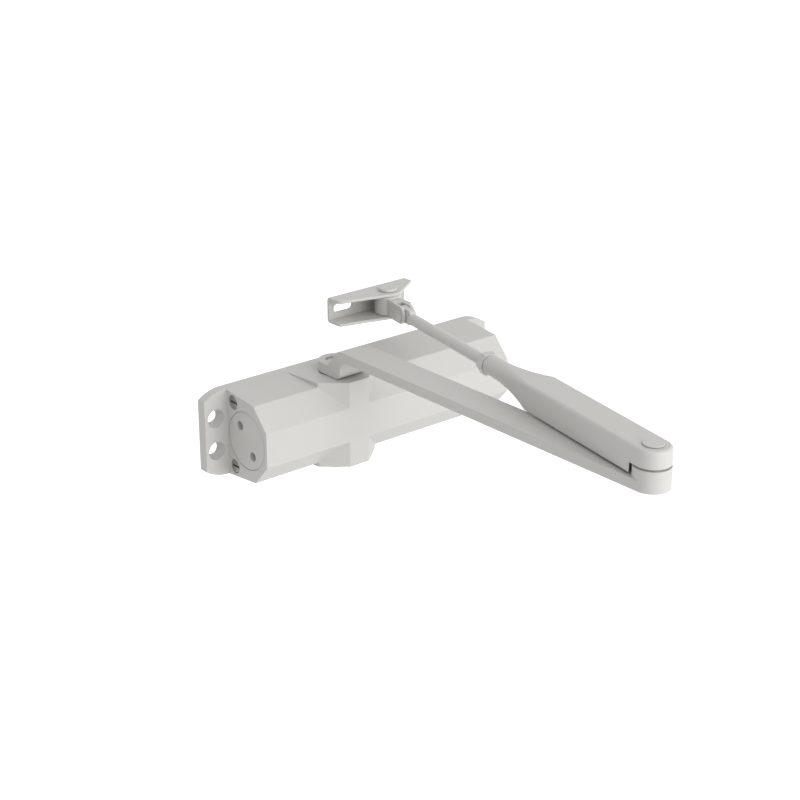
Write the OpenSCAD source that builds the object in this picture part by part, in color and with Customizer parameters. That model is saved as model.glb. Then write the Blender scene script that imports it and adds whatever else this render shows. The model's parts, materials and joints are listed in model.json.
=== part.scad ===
// Overhead door closer with a regular arm: rack-and-pinion hydraulic body, cranked main arm,
// forearm with an adjustable rod, and a pivoting shoe for the frame.
// Millimetres. +X runs along the body, +Y goes into the door and frame, +Z is up.
// The origin is on the body's back face, midway between its four mounting holes.

/* [Body] */
// Overall length over the mounting ears
overall_l = 244.6; // [235:0.1:300]
// Length of a mounting ear beyond the flat end face
ear_l = 17.4; // [16:0.1:24]
// Height of the body
body_h = 60; // [58:0.5:70]
// Depth from the door face to the front face
body_d = 50.7; // [50:0.1:60]
// Thickness of the back plate and ears
ear_t = 7.5; // [4:0.1:12]
// Depth at which the first facet meets the corner facet
facet_y = 37.3; // [30:0.1:42]
// Half height where the first facet meets the corner facet
facet_z = 26.8; // [24:0.1:29]
// Half height of the flat front face
front_z = 11.9; // [8:0.1:14]
// Distance from the door face to the axis of the main bore
bore_y = 28.4; // [26:0.1:29]
// Radius of the main bore
bore_r = 18.5; // [17:0.1:19]

/* [Mounting holes] */
// Distance from the tip of an ear to its mounting holes
hole_edge = 8.7; // [8:0.1:9.5]
// Spacing of the body's mounting holes in height
hole_dz = 22.6; // [18:0.1:30]
// Diameter of the body's mounting holes at the front
hole_d = 12.5; // [10:0.1:14]
// Diameter of the body's mounting holes at the back
hole_back_d = 8.7; // [6:0.1:9.5]
// Depth of the straight mouth of the mounting holes
hole_mouth = 1.2; // [0.5:0.1:3]
// Length of the straight back part of the mounting holes
hole_back_l = 1.5; // [0.5:0.1:3]

/* [Boss] */
// Distance of the spindle from the middle of the body
spindle_off = 29.4; // [20:0.1:34]
// Distance from the door face to the spindle axis
spindle_y = 25.3; // [24:0.1:27]
// Half width of the boss at the back plate
boss_back_w = 27.5; // [26:0.1:32]
// Half width of the boss at its front corners
boss_mid_w = 24; // [20:0.1:26]
// Half width of the boss's front face
boss_front_w = 7.9; // [5:0.1:12]

/* [End caps] */
// Radius of the threaded end caps
cap_r = 19.7; // [19:0.1:21]
// Thickness of the end caps
cap_t = 12; // [9:0.5:14]
// Chamfer round the outer rim of an end cap
cap_chamfer = 0.7; // [0.2:0.1:1.5]
// Radius of the circle that the pin-wrench holes lie on
wrench_r = 11; // [8:0.5:14]
// Diameter of the pin-wrench holes
wrench_d = 6.2; // [4:0.1:7]
// Depth of the pin-wrench holes
wrench_depth = 5; // [3:0.5:7]
// Angle of the pin-wrench holes from the horizontal
wrench_angle = 53; // [0:1:90]
// Thickness of the ring seals in the end caps
cap_seal_d = 1.9; // [1.2:0.1:2.2]

/* [Speed valves] */
// Distance of the valve screws from the door face
valve_y = 14.3; // [14:0.1:16]
// Height of the valve screws above and below the middle
valve_z = 22.5; // [22:0.1:23]
// Radius of the valve bores
valve_r = 4.9; // [3.5:0.1:5]
// Length of the valve screw's sealing head
valve_head_l = 9; // [8:0.5:14]
// Radius of the valve screw's stem
valve_stem_r = 2.4; // [1.5:0.1:3]
// Length of the valve screw's stem with its cone
valve_stem_l = 16; // [10:0.5:24]
// Depth that the valve screw is sunk below the end face
valve_sink = 0.9; // [0.3:0.1:2]
// Width of the screwdriver slot
slot_w = 1.5; // [1:0.1:2]
// Depth of the screwdriver slot
slot_depth = 1.4; // [0.8:0.1:2]
// Thickness of the valve ring seals
valve_seal_d = 1.4; // [1:0.1:1.8]

/* [Pinion and piston] */
// Module of the rack and pinion teeth
gear_module = 1.5; // [1.4:0.05:1.55]
// Number of teeth on the pinion
gear_teeth = 12; // [12:1:13]
// Face width of the pinion
gear_w = 29; // [24:0.5:31]
// Radius of the spindle's journals
journal_r = 7.2; // [6.9:0.1:7.3]
// Width across the flats of the spindle's square ends
square_w = 9.5; // [8:0.1:10.5]
// Height of the spindle's shoulder above the boss
shoulder_up = 0.4; // [0.3:0.1:2]
// Length of the spindle's upper square end
square_up = 3.2; // [2:0.1:3.6]
// Length of the spindle's lower square end
square_down = 3.4; // [2:0.1:4]
// Largest turn of the spindle from the closed position, in degrees
swing = 160; // [90:5:165]
// Length of the solid piston head at the valve end
piston_head_l = 14; // [12:0.5:17]
// Length of the piston wall at the spring end
piston_tail_l = 15; // [10:0.5:18]
// Radius of the check valve's ball
ball_r = 3; // [2:0.1:4]
// Depth of the check valve's bore
check_depth = 9; // [7:0.5:11]
// Room round the check valve's ball
check_play = 1; // [0.5:0.1:1.5]
// Thickness of the check valve's retaining ring
retainer_t = 2; // [1:0.1:2.5]
// Depth of the pocket in the spring end of the piston
pocket_l = 4; // [2:0.5:8]

/* [Bearings and seals] */
// Radius of the bearing housings
housing_r = 10.8; // [10.7:0.1:11.5]
// Height of a spindle bearing
bearing_h = 6; // [4:0.1:6.3]
// Radius of the threaded glands that hold the spindle seals
gland_r = 11.2; // [11:0.1:13]
// Height of a gland
gland_h = 4.9; // [4:0.1:5.2]
// Radial width of a spindle seal
seal_w = 2; // [1.5:0.1:2.2]
// Height of a spindle seal
seal_h = 2; // [1:0.1:2.6]
// Radius of the round cover on the lower spindle end
cover_r = 11; // [10.6:0.1:13]
// Height of the round cover below the boss
cover_h = 6.9; // [6:0.1:9]

/* [Spring] */
// Diameter of the spring wire
wire_d = 4.2; // [3:0.1:4.8]
// Gap between the spring and the bore
spring_gap = 0.8; // [0.5:0.1:2]
// Number of turns of the spring
spring_turns = 11; // [8:1:12]
// Thickness of the spring seat's disc
seat_t = 3; // [2:0.5:5]
// Length of the spring seat's centring boss
seat_boss = 5; // [3:0.5:8]

/* [Main arm] */
// Distance from the spindle to the elbow
arm_l = 281.8; // [240:0.1:300]
// Width of the main arm
arm_w = 22.4; // [20:0.1:26]
// Thickness of the main arm
arm_t = 6.75; // [5:0.05:8]
// Thickness of the main arm's hub
hub_t = 7.35; // [6.5:0.05:8]
// Height that the arm's crank rises
crank_rise = 13.05; // [11:0.05:16]
// Distance from the spindle to the foot of the crank
crank_start = 6.4; // [6.2:0.1:8]
// Slope of the crank's upper face, in degrees
crank_slope = 50; // [42:1:56]
// Radius over the top of the crank
crank_top_r = 9; // [5:0.5:10]
// Distance from the spindle to the front of the crank
crank_front = 19.6; // [19:0.1:23]
// Radius under the front of the crank
crank_toe_r = 5; // [2:0.5:5.5]
// Radius between the crank and the underside of the bar
crank_under_r = 8; // [5:0.5:8]
// Height of the elbow knuckle above the bar
knuckle_up = 6.6; // [4:0.1:8]
// Radius of the arm screw's head
screw_head_r = 6; // [5.5:0.1:6.4]
// Height of the arm screw's head
screw_head_h = 1.9; // [1.5:0.1:2.4]
// Depth of the arm screw's counterbore in the hub
screw_sink = 3; // [2.6:0.1:3.6]
// Radius of the arm screw's thread
screw_r = 3; // [2.5:0.1:3.5]
// Length of the arm screw's thread
screw_l = 12; // [8:0.5:16]
// Width across the flats of the arm screw's socket
screw_socket = 4; // [3:0.5:5]

/* [Elbow] */
// Radius of the elbow pin
elbow_pin_r = 4; // [3:0.1:5]
// Radius of the elbow pin's head
elbow_head_r = 6.3; // [5.5:0.1:7]
// Height of the elbow pin's head
elbow_head_h = 1.1; // [0.6:0.1:2]
// Thickness of the elbow washer
elbow_washer_t = 1.05; // [0.6:0.05:1.6]
// Radius of the elbow washer
elbow_washer_r = 9; // [7:0.1:10.5]

/* [Forearm] */
// Angle between the forearm and the main arm at rest, in degrees
forearm_angle = 10.5; // [5:0.05:20]
// Width of the forearm
forearm_w = 22; // [20:0.1:26]
// Height of the forearm
forearm_h = 17.4; // [16:0.1:20]
// Gap between the forearm and the main arm
forearm_gap = 1.2; // [0.8:0.1:3]
// Radius along the forearm's upper edges
forearm_top_r = 2; // [0.5:0.1:3]
// Radius along the forearm's lower edges
forearm_low_r = 0.8; // [0.3:0.1:2]
// Distance from the elbow to the open end of the forearm's socket
socket_end = 165.8; // [150:0.1:175]
// Radius of the forearm's round socket
socket_r = 6.4; // [5.5:0.1:7]
// Length of the cylindrical part of the socket
socket_l = 13; // [8:0.5:20]
// Length of the flare between the socket and the bar
flare_l = 41.5; // [35:0.5:50]
// Gap between the forearm and the elbow knuckle, across
knuckle_gap = 1.6; // [0.8:0.1:3]

/* [Rod] */
// Radius of the adjusting rod
rod_r = 3.85; // [3:0.05:4.5]
// Length of the rod that is screwed into the socket
rod_in = 52; // [40:1:70]
// Depth of the threaded hole in the forearm
rod_hole = 75; // [60:1:85]
// Thickness of the rod's flat tongue
tongue_t = 4.6; // [3:0.1:5]
// Half height of the rod's flat tongue
tongue_h = 5; // [4.5:0.1:5.3]
// Distance from the clevis pin to the tongue's shoulder end
tongue_back = 12; // [9:0.1:15]
// Radius of the tongue's corners
tongue_r = 3; // [1:0.1:4]
// Width across the flats of the jam nut
nut_w = 13.4; // [12:0.1:15]
// Thickness of the jam nut
nut_t = 5.4; // [4:0.1:8]

/* [Swivel fork] */
// Distance from the clevis pin to the shoe's pivot
fork_tail = 23.2; // [20:0.1:35]
// Thickness of a fork ear
fork_ear_t = 2.2; // [1.5:0.1:3]
// Half height of a fork ear
fork_ear_h = 6; // [5:0.1:6.1]
// Height of the fork's middle above the rod's axis
fork_lift = 0.8; // [0:0.1:1]
// Distance from the clevis pin to a fork ear's tip
fork_tip = 6.3; // [5.5:0.1:8]
// Radius of a fork ear's corners
fork_ear_r = 4.8; // [3:0.1:5.5]
// Distance from the clevis pin to the end of the fork's slot
fork_slot = 7.6; // [7:0.1:11]
// Radius of the fork's round barrel
barrel_r = 8.9; // [6:0.1:9]
// Radius of the clevis pin
clevis_pin_r = 2.6; // [2:0.1:3.2]
// Radius of the clevis pin's heads
clevis_head_r = 4.2; // [3.5:0.1:5]
// Height of the clevis pin's heads
clevis_head_h = 0.6; // [0.4:0.1:1.5]

/* [Shoe] */
// Distance of the shoe's pivot from the frame face
pivot_y = 14.9; // [13:0.1:17]
// Height of the middle of the shoe above the middle of the body
shoe_z = 62.4; // [61:0.1:64]
// Height of the shoe
shoe_h = 18; // [16.5:0.1:20]
// Thickness of the shoe's sheet
shoe_t = 2; // [1.5:0.1:3]
// Length of the shoe on its slotted side
shoe_left = 40.6; // [36:0.1:55]
// Length of the shoe on its short side
shoe_right = 26; // [22:0.1:40]
// Depth of the shoe's flange at the slotted end
shoe_left_d = 14; // [8:0.1:17]
// Depth of the shoe's flange at the short end
shoe_right_d = 9.6; // [6:0.1:14]
// Radius of the flange's corner at the slotted end
shoe_left_r = 2.5; // [0.5:0.1:4]
// Radius of the flange's corner at the short end
shoe_right_r = 1; // [0.5:0.1:4]
// Radius of the shoe's nose round the pivot
nose_r = 9.2; // [8:0.1:12]
// Outer radius of the shoe's bends
bend_r = 2.4; // [2.3:0.1:4]
// Length of a mounting slot in the shoe
shoe_slot_l = 15.9; // [10:0.1:20]
// Width of a mounting slot in the shoe
shoe_slot_w = 5.6; // [4:0.1:7]
// Distance from the slotted end of the shoe to the middle of its slot
shoe_slot_x = 12.3; // [11:0.1:14]
// Distance from the short end of the shoe to the middle of its slot
shoe_slot_x2 = 12.3; // [11:0.1:14]
// Radius of the shoe rivet
rivet_r = 3.6; // [2.5:0.1:4.5]
// Radius of the shoe rivet's heads
rivet_head_r = 6.4; // [5.5:0.1:7]
// Height of the shoe rivet's upper head
rivet_head_h = 2.2; // [1:0.1:2.5]
// Height of the shoe rivet's lower head
rivet_foot_h = 1.2; // [0.8:0.1:2]
// Thickness of the washers between the fork and the shoe
shoe_washer_t = 0.4; // [0.4:0.1:1]

/* [Clearances] */
// Running clearance on radius
run_c = 0.05; // [0.02:0.01:0.1]
// Fitting clearance on radius between fixed pieces
fit_c = 0.02; // [0.01:0.01:0.05]
// Clearance between faces that slide on each other
face_c = 0.1; // [0.05:0.01:0.3]
// Clearance round parts that only pass through
free_c = 0.5; // [0.3:0.1:1]

/* [Hidden] */
$fn = 64;
EPS = 0.01;
paint = [0.86, 0.86, 0.84];
plated = [0.70, 0.70, 0.69];
steel = [0.55, 0.56, 0.58];
rubber = [0.12, 0.12, 0.13];
gear_angle = 25;

body_l = overall_l - 2 * ear_l;
hole_dx = overall_l - 2 * hole_edge;
half_l = body_l / 2;
half_h = body_h / 2;
spindle_x = -spindle_off;
pitch_r = gear_module * gear_teeth / 2;
tip_r = pitch_r + gear_module;
root_r = pitch_r - 1.25 * gear_module;
base_r = pitch_r * cos(gear_angle);
backlash = 0.15;
travel = swing * PI / 180 * pitch_r;
piston_r = bore_r - run_c;
window_gap = 0.8;
window_end_gap = 1.5;
window_right = spindle_x + tip_r + window_end_gap;
window_left = spindle_x - travel - tip_r - window_end_gap;
piston_left = window_left - piston_head_l;
piston_right = window_right + piston_tail_l;
check_seat_x = piston_left + check_depth;
port_r = 0.6 * ball_r;
ball_rest = sqrt(ball_r * ball_r - port_r * port_r) + run_c;
shoulder_z = half_h + shoulder_up;
hub_top = shoulder_z + hub_t;
bar_top = hub_top + crank_rise;
bar_low = bar_top - arm_t;
knuckle_top = bar_top + knuckle_up;
forearm_low = bar_top + forearm_gap;
forearm_top = forearm_low + forearm_h;
link_z = (forearm_low + forearm_top) / 2;
lap_z = knuckle_top + elbow_washer_t + face_c;
socket_chamfer = 0.6;
nut_corner = 0.6;
stem_room = 2;
stem_c = 0.3;
drill_r = 1.2;
seal_seat = 5.5;
seal_groove = cap_seal_d + 0.4;
valve_chamfer = 0.4;
valve_tip_r = 0.6;
valve_cone_l = 3;
valve_groove_x = 3.5;
valve_groove_w = valve_seal_d + 0.3;
valve_groove_r = valve_r - run_c - valve_seal_d;
thread_room = 2;
lower_rim = 2;
cover_wall = 1.5;
cover_edge = 1.6;
socket_depth = 1.3;
elbow_x = spindle_x;
elbow_y = -spindle_y - arm_l;
reach_y = -pivot_y - elbow_y;
pivot_s = reach_y / cos(forearm_angle);
pin_s = pivot_s - fork_tail;
pivot_x = elbow_x + reach_y * tan(forearm_angle);
shoe_top = shoe_z + shoe_h / 2;
shoe_low = shoe_z - shoe_h / 2;
inner_top = shoe_top - shoe_t;
inner_low = shoe_low + shoe_t;
fork_gap = tongue_t / 2 + face_c;
fork_half = fork_gap + fork_ear_t;
barrel_top = inner_top - shoe_washer_t - face_c;
barrel_low = inner_low + shoe_washer_t + face_c;

// Points of an arc about c from angle a to angle b.
function arc(c, r, a, b, n = 8) =
    [for (i = [0:n]) let (t = a + (b - a) * i / n) [c[0] + r * cos(t), c[1] + r * sin(t)]];

// Extrudes an outline drawn in Y and Z along X, from x to x + length.
module along_x(x, length) {
    translate([x, 0, 0]) rotate([90, 0, 90]) linear_extrude(length) children();
}

// Cylinder along X through the point y, z.
module rod_x(x, length, r, y = 0, z = 0) {
    translate([x, y, z]) rotate([0, 90, 0]) cylinder(h = length, r = r);
}

// Extrudes an outline drawn in X and Z from the door face outwards.
module plate_xz(depth) {
    rotate([90, 0, 0]) linear_extrude(depth) children();
}

// Places children on the elbow axis with X along the forearm.
module at_elbow() {
    translate([elbow_x, elbow_y, 0]) rotate([0, 0, 90 - forearm_angle]) children();
}

module body_section() {
    polygon([
        [0, -half_h], [0, half_h], [-ear_t, half_h], [-facet_y, facet_z],
        [-body_d, front_z], [-body_d, -front_z], [-facet_y, -facet_z], [-ear_t, -half_h]]);
}

// Rounded mounting ear: the end of the back plate.
module ears() {
    plate_xz(ear_t) intersection() {
        union() {
            translate([-half_l, 0]) circle(r = half_h);
            translate([half_l, 0]) circle(r = half_h);
        }
        square([overall_l, body_h], center = true);
    }
}

module boss() {
    translate([spindle_x, 0, -half_h]) linear_extrude(body_h) polygon([
        [-boss_back_w, -ear_t], [boss_back_w, -ear_t], [boss_mid_w, -facet_y],
        [boss_front_w, -body_d], [-boss_front_w, -body_d], [-boss_mid_w, -facet_y]]);
}

// Bore for a valve screw, from the left end face, with its drilling to the main bore.
module valve_bore(z) {
    stem_end = valve_sink + valve_head_l + valve_stem_l;
    drill_l = norm([bore_y - valve_y, z]) - bore_r / 2;
    toward = atan2(-z, -bore_y + valve_y);
    rod_x(-half_l - EPS, valve_sink + valve_head_l + EPS, valve_r, -valve_y, z);
    rod_x(-half_l, stem_end + stem_room, valve_stem_r + stem_c, -valve_y, z);
    translate([-half_l + stem_end, -valve_y, z]) rotate([toward - 90, 0, 0])
        cylinder(h = drill_l, r = drill_r);
}

// Stepped bore for one spindle bearing and its gland, in the top of the boss.
module spindle_housing() {
    translate([spindle_x, -spindle_y, 0]) cylinder(h = half_h + EPS, r = housing_r);
    translate([spindle_x, -spindle_y, half_h - gland_h]) cylinder(h = gland_h + EPS, r = gland_r + fit_c);
}

module mounting_holes() {
    for (sx = [-1, 1], sz = [-1, 1])
        translate([sx * hole_dx / 2, EPS, sz * hole_dz / 2]) rotate([90, 0, 0]) {
            cylinder(h = hole_back_l + EPS, d = hole_back_d);
            translate([0, 0, hole_back_l + EPS])
                cylinder(h = ear_t - hole_mouth - hole_back_l, d1 = hole_back_d, d2 = hole_d);
            translate([0, 0, ear_t - hole_mouth]) cylinder(h = hole_mouth + 2 * EPS, d = hole_d);
        }
}

module closer_body() {
    color(paint) difference() {
        union() {
            along_x(-half_l, body_l) body_section();
            ears();
            boss();
        }
        mounting_holes();
        rod_x(-half_l - EPS, body_l + 2 * EPS, bore_r, -bore_y);
        for (s = [-1, 1]) rod_x(s * (half_l - cap_t / 2) - cap_t / 2 - EPS, cap_t + 2 * EPS, cap_r, -bore_y);
        spindle_housing();
        mirror([0, 0, 1]) spindle_housing();
        for (s = [-1, 1]) valve_bore(s * valve_z);
    }
}

// End cap, drawn with its outer face at x = 0 and its body towards +X.
module end_cap() {
    r = cap_r - fit_c;
    rotate([0, 90, 0]) difference() {
        rotate_extrude() polygon([
            [0, 0], [r - cap_chamfer, 0], [r, cap_chamfer], [r, seal_seat],
            [r - cap_seal_d, seal_seat], [r - cap_seal_d, seal_seat + seal_groove],
            [r, seal_seat + seal_groove], [r, cap_t], [0, cap_t]]);
        for (s = [0, 180]) rotate([0, 0, wrench_angle + s + 90]) translate([wrench_r, 0, -EPS])
            cylinder(h = wrench_depth, d = wrench_d);
    }
}

module left_end_cap() {
    color(paint) translate([-half_l, -bore_y, 0]) end_cap();
}

module right_end_cap() {
    color(paint) translate([half_l, -bore_y, 0]) mirror([1, 0, 0]) end_cap();
}

// Ring seal of wire diameter d whose outside is at radius r, lying about the X axis.
module ring_seal(r, d) {
    rotate([0, 90, 0]) rotate_extrude() translate([r - d / 2, 0]) circle(d = d, $fn = 24);
}

module cap_seals() {
    mid = half_l - seal_seat - seal_groove / 2;
    color(rubber) for (s = [-1, 1])
        translate([s * mid, -bore_y, 0]) ring_seal(cap_r - fit_c, cap_seal_d - fit_c);
}

// Valve screw, drawn with its slotted face at x = 0 and its stem towards +X.
module valve_screw() {
    r = valve_r - run_c;
    groove_end = valve_groove_x + valve_groove_w;
    head_end = valve_head_l - face_c;
    stem_end = valve_head_l + valve_stem_l;
    difference() {
        rotate([0, 90, 0]) rotate_extrude() polygon([
            [0, 0], [r - valve_chamfer, 0], [r, valve_chamfer], [r, valve_groove_x],
            [valve_groove_r, valve_groove_x], [valve_groove_r, groove_end], [r, groove_end],
            [r, head_end], [valve_stem_r, head_end], [valve_stem_r, stem_end - valve_cone_l],
            [valve_tip_r, stem_end], [0, stem_end]]);
        translate([-EPS, -valve_r, -slot_w / 2]) cube([slot_depth, 2 * valve_r, slot_w]);
    }
}

module sweep_valve() {
    color(plated) translate([-half_l + valve_sink, -valve_y, valve_z]) valve_screw();
}

module latch_valve() {
    color(plated) translate([-half_l + valve_sink, -valve_y, -valve_z]) valve_screw();
}

module valve_seals() {
    color(rubber) for (s = [-1, 1])
        translate([-half_l + valve_sink + valve_groove_x + valve_groove_w / 2, -valve_y, s * valve_z])
            ring_seal(valve_r - fit_c, valve_seal_d - 2 * run_c);
}

// Involute of the base circle at radius r, as a polar angle in degrees.
function inv_angle(r) = let (a = acos(base_r / r)) tan(a) * 180 / PI - a;

// Half the angle that a tooth takes up at radius r, in degrees.
function half_tooth(r) = let (play = backlash / pitch_r * 90 / PI)
    90 / gear_teeth - play + inv_angle(pitch_r) - inv_angle(r);

module pinion_outline() {
    steps = 5;
    radii = [for (i = [0:steps]) base_r + (tip_r - base_r) * i / steps];
    flank = concat([[root_r, half_tooth(base_r)]], [for (r = radii) [r, half_tooth(r)]]);
    polygon([for (k = [0:gear_teeth - 1]) let (mid = -90 + k * 360 / gear_teeth)
        each concat(
            [for (i = [0:len(flank) - 1]) let (p = flank[i], a = mid - p[1]) p[0] * [cos(a), sin(a)]],
            [for (i = [len(flank) - 1:-1:0]) let (p = flank[i], a = mid + p[1]) p[0] * [cos(a), sin(a)]])]);
}

module spindle() {
    bottom_shoulder = -half_h - shoulder_up;
    color(steel) translate([spindle_x, -spindle_y, 0]) difference() {
        union() {
            translate([0, 0, -gear_w / 2]) linear_extrude(gear_w) pinion_outline();
            for (s = [0, 1]) mirror([0, 0, s]) translate([0, 0, gear_w / 2])
                cylinder(h = shoulder_z - gear_w / 2, r = journal_r);
            translate([-square_w / 2, -square_w / 2, shoulder_z]) cube([square_w, square_w, square_up]);
            translate([-square_w / 2, -square_w / 2, bottom_shoulder - square_down])
                cube([square_w, square_w, square_down]);
        }
        translate([0, 0, shoulder_z + square_up - screw_l - thread_room])
            cylinder(h = screw_l + thread_room + EPS, r = screw_r);
    }
}

rack_y = -spindle_y - pitch_r;
pitch = PI * gear_module;

// Gap between two teeth of the rack, centred on x = 0, cut from the tooth tips downwards.
module rack_gap_outline() {
    up = gear_module;
    down = 1.25 * gear_module;
    half = pitch / 4 + backlash / 2;
    top = half + up * tan(gear_angle);
    foot = half - down * tan(gear_angle);
    polygon([[-top, up + EPS], [-foot, -down], [foot, -down], [top, up + EPS]]);
}

module piston() {
    window_back = -spindle_y + tip_r + window_gap;
    rack_tip = rack_y + gear_module;
    low = ceil((window_left - spindle_x) / pitch);
    high = floor((window_right - spindle_x) / pitch);
    color(steel) difference() {
        rod_x(piston_left, piston_right - piston_left, piston_r, -bore_y);
        translate([window_left, rack_tip, -bore_r])
            cube([window_right - window_left, window_back - rack_tip, 2 * bore_r]);
        for (k = [low:high]) translate([spindle_x + k * pitch, rack_y, -bore_r])
            linear_extrude(2 * bore_r) rack_gap_outline();
        rod_x(piston_left - EPS, check_depth + EPS, ball_r + check_play, -bore_y);
        rod_x(check_seat_x - EPS, piston_head_l - check_depth + 2 * EPS, port_r, -bore_y);
        rod_x(piston_right - pocket_l, pocket_l + EPS, spring_mid_r - wire_d, -bore_y);
    }
}

module check_ball() {
    color(steel) translate([check_seat_x - ball_rest, -bore_y, 0]) sphere(r = ball_r);
}

module check_retainer() {
    color(steel) difference() {
        rod_x(piston_left, retainer_t, ball_r + check_play - fit_c, -bore_y);
        rod_x(piston_left - EPS, retainer_t + 2 * EPS, ball_r / 2, -bore_y);
    }
}

spring_left = piston_right + 0.3;
spring_right = half_l - cap_t - seat_t - 0.1;
spring_mid_r = bore_r - spring_gap - wire_d / 2;
wire_r = wire_d / 2;
spring_rings = 12;
spring_sides = 8;

// Middle of the wire after t turns: closed end turns with an open helix between them.
function spring_rise(t) = let (n = spring_turns, close = wire_d + 0.6,
    free = (spring_right - spring_left - wire_d - 2 * close) / (n - 2))
    t < 1 ? t * close : t < n - 1 ? close + (t - 1) * free : close + (n - 2) * free + (t - n + 1) * close;
function spring_at(t) = [spring_left + wire_r + spring_rise(t),
    spring_mid_r * cos(360 * t), spring_mid_r * sin(360 * t)];
// Ring of points round the wire after t turns, square to the wire.
function spring_ring(t) = let (o = spring_at(t), d = spring_at(t + 0.001) - spring_at(t - 0.001),
    u = d / norm(d), e = [0, cos(360 * t), sin(360 * t)], s = cross(u, e))
    [for (k = [0:spring_sides - 1]) let (a = 360 * k / spring_sides)
        o + wire_r * (cos(a) * e + sin(a) * s)];

module main_spring() {
    n = spring_turns * spring_rings;
    m = spring_sides;
    points = [for (i = [0:n]) each spring_ring(i / spring_rings)];
    faces = concat([[for (k = [m - 1:-1:0]) k]],
        [for (i = [0:n - 1], k = [0:m - 1]) let (a = i * m + k, b = i * m + (k + 1) % m) [a, b, b + m, a + m]],
        [[for (k = [0:m - 1]) n * m + k]]);
    color(steel) translate([0, -bore_y, 0]) polyhedron(points, faces);
}

spring_gaps = [for (i = [0:spring_rings * (spring_turns - 1)]) let (t = i / spring_rings)
    norm(spring_at(t + 1) - spring_at(t)) - wire_d];
echo(least_gap_between_spring_turns = min(spring_gaps));

module spring_seat() {
    color(steel) {
        rod_x(half_l - cap_t - seat_t, seat_t, bore_r - free_c, -bore_y);
        rod_x(half_l - cap_t - seat_t - seat_boss, seat_boss + EPS, spring_mid_r - wire_r - free_c, -bore_y);
    }
}

// Ring about the spindle axis between two heights.
module spindle_ring(z, h, inner, outer) {
    translate([spindle_x, -spindle_y, z]) difference() {
        cylinder(h = h, r = outer);
        translate([0, 0, -EPS]) cylinder(h = h + 2 * EPS, r = inner);
    }
}

bearing_z = half_h - gland_h - bearing_h;

module bearing() {
    spindle_ring(bearing_z, bearing_h, journal_r + run_c, housing_r - fit_c);
}

module upper_bearing() {
    color(steel) bearing();
}

module lower_bearing() {
    color(steel) mirror([0, 0, 1]) bearing();
}

module seal() {
    spindle_ring(half_h - gland_h, seal_h, journal_r + run_c, journal_r + seal_w);
}

module upper_seal() {
    color(rubber) seal();
}

module lower_seal() {
    color(rubber) mirror([0, 0, 1]) seal();
}

module gland(up) {
    difference() {
        union() {
            spindle_ring(half_h - gland_h, gland_h, journal_r + free_c, gland_r);
            if (up > 0) spindle_ring(half_h - EPS, up + EPS, journal_r + free_c, cover_r - cover_wall);
        }
        translate([spindle_x, -spindle_y, half_h - gland_h - EPS])
            cylinder(h = seal_h + fit_c + EPS, r = journal_r + seal_w + fit_c);
    }
}

module upper_gland() {
    color(plated) gland(0);
}

module lower_gland() {
    color(plated) mirror([0, 0, 1]) gland(lower_rim);
}

// Round cap snapped over the lower gland, with a rounded lower edge.
module spindle_cover() {
    inner = cover_r - cover_wall + fit_c;
    roof = cover_h - cover_wall;
    color(paint) translate([spindle_x, -spindle_y, -half_h]) mirror([0, 0, 1]) rotate_extrude()
        polygon(concat(
            [[inner, 0], [cover_r, 0]],
            arc([cover_r - cover_edge, cover_h - cover_edge], cover_edge, 0, 90),
            [[0, cover_h], [0, roof], [inner, roof]]));
}

// Side view of the main arm: X is the distance from the spindle, Y is the height.
module arm_profile() {
    rise_line = crank_rise - crank_top_r * (1 - cos(crank_slope));
    knee = crank_start + rise_line / tan(crank_slope);
    crown = knee + crank_top_r * sin(crank_slope);
    toe_z = shoulder_z + crank_toe_r;
    under = [crank_front + crank_under_r, bar_low - crank_under_r];
    polygon(concat(
        [[0, shoulder_z]],
        arc([crank_front - crank_toe_r, toe_z], crank_toe_r, -90, 0),
        arc(under, crank_under_r, 180, 90),
        [[arm_l, bar_low], [arm_l, bar_top]],
        arc([crown, bar_top - crank_top_r], crank_top_r, 90, 90 + crank_slope),
        [[crank_start, hub_top], [0, hub_top]]));
}

module main_arm() {
    r = arm_w / 2;
    hole = square_w + 2 * run_c;
    color(paint) difference() {
        union() {
            translate([spindle_x + r, -spindle_y, 0]) rotate([0, 0, -90]) rotate([90, 0, 0])
                mirror([0, 0, 1]) translate([0, 0, -arm_w]) linear_extrude(arm_w) arm_profile();
            translate([spindle_x, -spindle_y, shoulder_z]) cylinder(h = hub_t, r = r);
            translate([elbow_x, elbow_y, bar_low]) cylinder(h = knuckle_top - bar_low, r = r);
        }
        translate([spindle_x - hole / 2, -spindle_y - hole / 2, shoulder_z - EPS])
            cube([hole, hole, hub_t + 2 * EPS]);
        translate([spindle_x, -spindle_y, hub_top - screw_sink])
            cylinder(h = screw_sink + EPS, r = screw_head_r + free_c / 2);
        translate([elbow_x, elbow_y, bar_low - EPS])
            cylinder(h = knuckle_top - bar_low + 2 * EPS, r = elbow_pin_r + fit_c);
    }
}

module arm_screw() {
    seat = hub_top - screw_sink;
    color(plated) translate([spindle_x, -spindle_y, seat]) difference() {
        union() {
            cylinder(h = screw_head_h, r = screw_head_r);
            translate([0, 0, -screw_l]) cylinder(h = screw_l + EPS, r = screw_r - fit_c);
        }
        translate([0, 0, screw_head_h - socket_depth])
            cylinder(h = socket_depth + EPS, d = screw_socket / cos(30), $fn = 6);
    }
}

module elbow_pin() {
    color(paint) translate([elbow_x, elbow_y, 0]) {
        translate([0, 0, bar_low]) cylinder(h = forearm_top + face_c - bar_low + EPS, r = elbow_pin_r);
        translate([0, 0, forearm_top + face_c]) cylinder(h = elbow_head_h - face_c, r = elbow_head_r);
    }
}

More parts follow.
